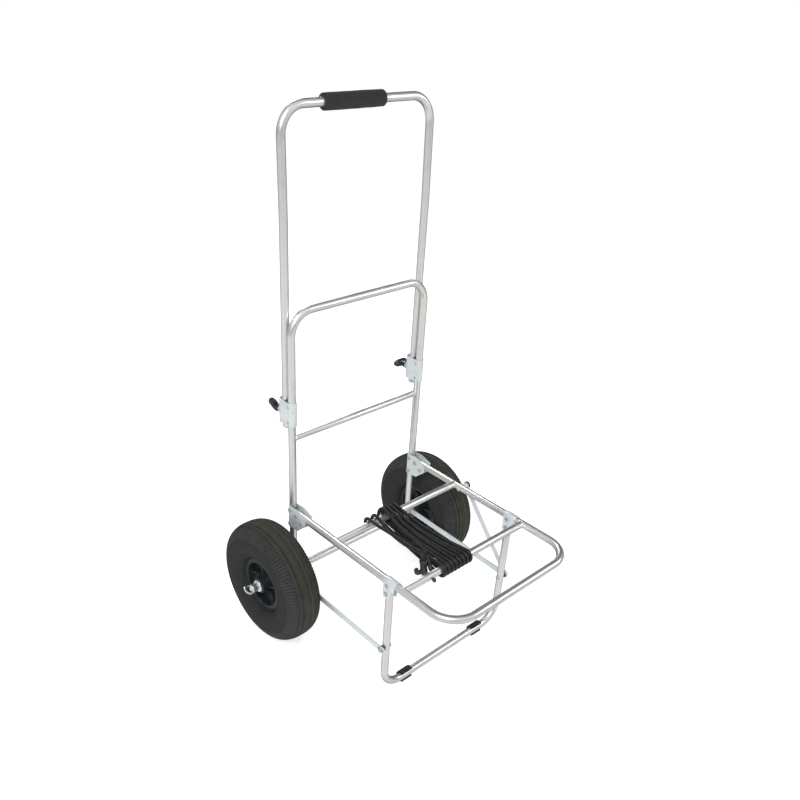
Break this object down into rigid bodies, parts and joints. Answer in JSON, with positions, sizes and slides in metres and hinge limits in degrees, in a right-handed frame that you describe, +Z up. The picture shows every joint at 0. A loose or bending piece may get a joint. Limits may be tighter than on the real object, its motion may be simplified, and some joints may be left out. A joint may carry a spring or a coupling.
{
  "type": "surfcasting trolley",
  "caption": "Folding bent-tube beach trolley with a sliding handle, fat pneumatic wheels, a fold-up platform with its own stand, and an elastic cord wound round the platform's crossbars.",
  "frame": {"origin": "on the ground, under the centre of the trolley's footprint", "axes": "+Z up, -Y towards the platform's nose, +Y towards the handle side, +X towards the right-hand wheel"},
  "size_m": [0.577, 0.5835, 1.042],
  "materials": {
    "satin_aluminium": "satin, drawn tube",
    "zinc_plated": "bright zinc plating",
    "chrome": "polished",
    "tyre_rubber": "matt moulded rubber",
    "black_rubber": "matt",
    "foam": "fine-celled foam",
    "elastic": "woven sheath over rubber strands",
    "gloss_black": "gloss",
    "rim_plastic": "moulded, semi-matt"
  },
  "bodies": {
    "frame": {"main_frame_tube": "satin_aluminium", "frame_crossbar": "satin_aluminium", "axle_tube": "satin_aluminium", "axle_rod": "zinc_plated", "axle_spacer_left": "zinc_plated", "axle_spacer_right": "zinc_plated", "hinge_bracket_left": "zinc_plated", "hinge_bracket_right": "zinc_plated", "hinge_rivet_lower_left": "zinc_plated", "hinge_rivet_lower_right": "zinc_plated", "hinge_rivet_upper_left": "zinc_plated", "hinge_rivet_upper_right": "zinc_plated", "fold_pivot_left": "zinc_plated", "fold_pivot_right": "zinc_plated", "fold_stop_left": "zinc_plated", "fold_stop_right": "zinc_plated", "clamp_bracket_left": "zinc_plated", "clamp_bracket_right": "zinc_plated", "hub_washer_left": "chrome", "hub_washer_right": "chrome"},
    "handle": {"handle_tube": "satin_aluminium", "foam_grip": "foam"},
    "knob_left": {"clamp_knob_left": "gloss_black", "knob_screw_left": "zinc_plated"},
    "knob_right": {"clamp_knob_right": "gloss_black", "knob_screw_right": "zinc_plated"},
    "platform": {"platform_tube": "satin_aluminium", "rear_crossbar": "satin_aluminium", "front_crossbar": "satin_aluminium", "stand_clip_left": "zinc_plated", "stand_clip_right": "zinc_plated", "clip_rivet_left": "zinc_plated", "clip_rivet_right": "zinc_plated", "lock_stud": "zinc_plated", "lock_stud_cap": "gloss_black", "elastic_cord": "elastic", "cord_hook_gripping": "gloss_black", "cord_hook_free": "gloss_black"},
    "stand": {"stand_tube": "satin_aluminium", "foot_left": "black_rubber", "foot_right": "black_rubber", "stand_pivot_left": "zinc_plated", "stand_pivot_right": "zinc_plated", "brace_bolt_left": "zinc_plated", "brace_bolt_right": "zinc_plated", "brace_spacer_left": "gloss_black", "brace_spacer_right": "gloss_black"},
    "brace_left": {"brace_left": "zinc_plated"},
    "brace_right": {"brace_right": "zinc_plated"},
    "lock_bar": {"lock_bar": "zinc_plated"},
    "wheel_left": {"tyre_left": "tyre_rubber", "inner_tube_left": "black_rubber", "rim_left": "rim_plastic", "wheel_bush_left": "zinc_plated"},
    "wheel_right": {"tyre_right": "tyre_rubber", "inner_tube_right": "black_rubber", "rim_right": "rim_plastic", "wheel_bush_right": "zinc_plated"},
    "wing_nut_left": {"wing_nut_left": "chrome"},
    "wing_nut_right": {"wing_nut_right": "chrome"}
  },
  "joints": [
    {"name": "handle_slide", "type": "slide", "parent": "frame", "child": "handle", "axis": [0, 0, -1], "range_m": [0, 0.3]},
    {"name": "platform_fold", "type": "hinge", "parent": "frame", "child": "platform", "pos_m": [0, 0.14175, 0.279], "axis": [-1, 0, 0], "range_deg": [0, 84]},
    {"name": "stand_fold", "type": "hinge", "parent": "platform", "child": "stand", "pos_m": [0, -0.12825, 0.256], "axis": [1, 0, 0], "range_deg": [0, 88.4]},
    {"name": "lock_bar_swing", "type": "hinge", "parent": "stand", "child": "lock_bar", "pos_m": [0.1812, -0.12825, 0.122], "axis": [1, 0, 0], "range_deg": [0, 40]},
    {"name": "brace_left_swing", "type": "hinge", "parent": "frame", "child": "brace_left", "pos_m": [-0.166, 0.16175, 0.13], "axis": [-1, 0, 0], "range_deg": [0, 79.2]},
    {"name": "brace_right_swing", "type": "hinge", "parent": "frame", "child": "brace_right", "pos_m": [0.166, 0.16175, 0.13], "axis": [-1, 0, 0], "range_deg": [0, 79.2]},
    {"name": "knob_left_turn", "type": "hinge", "parent": "frame", "child": "knob_left", "pos_m": [-0.166, 0.19945, 0.496], "axis": [0, 1, 0], "range_deg": [0, 360]},
    {"name": "wheel_left_spin", "type": "hinge", "parent": "frame", "child": "wheel_left", "pos_m": [-0.223, 0.16175, 0.13], "axis": [1, 0, 0], "continuous": true},
    {"name": "wing_nut_left_turn", "type": "hinge", "parent": "frame", "child": "wing_nut_left", "pos_m": [-0.2612, 0.16175, 0.13], "axis": [1, 0, 0], "continuous": true},
    {"name": "knob_right_turn", "type": "hinge", "parent": "frame", "child": "knob_right", "pos_m": [0.166, 0.19945, 0.496], "axis": [0, 1, 0], "range_deg": [0, 360]},
    {"name": "wheel_right_spin", "type": "hinge", "parent": "frame", "child": "wheel_right", "pos_m": [0.223, 0.16175, 0.13], "axis": [1, 0, 0], "continuous": true},
    {"name": "wing_nut_right_turn", "type": "hinge", "parent": "frame", "child": "wing_nut_right", "pos_m": [0.2612, 0.16175, 0.13], "axis": [1, 0, 0], "continuous": true}
  ],
  "couplings": [
    {"joint": "stand_fold", "follows": "platform_fold", "ratio": 1.052},
    {"joint": "brace_left_swing", "follows": "platform_fold", "ratio": 0.942},
    {"joint": "brace_right_swing", "follows": "platform_fold", "ratio": 0.942}
  ]
}
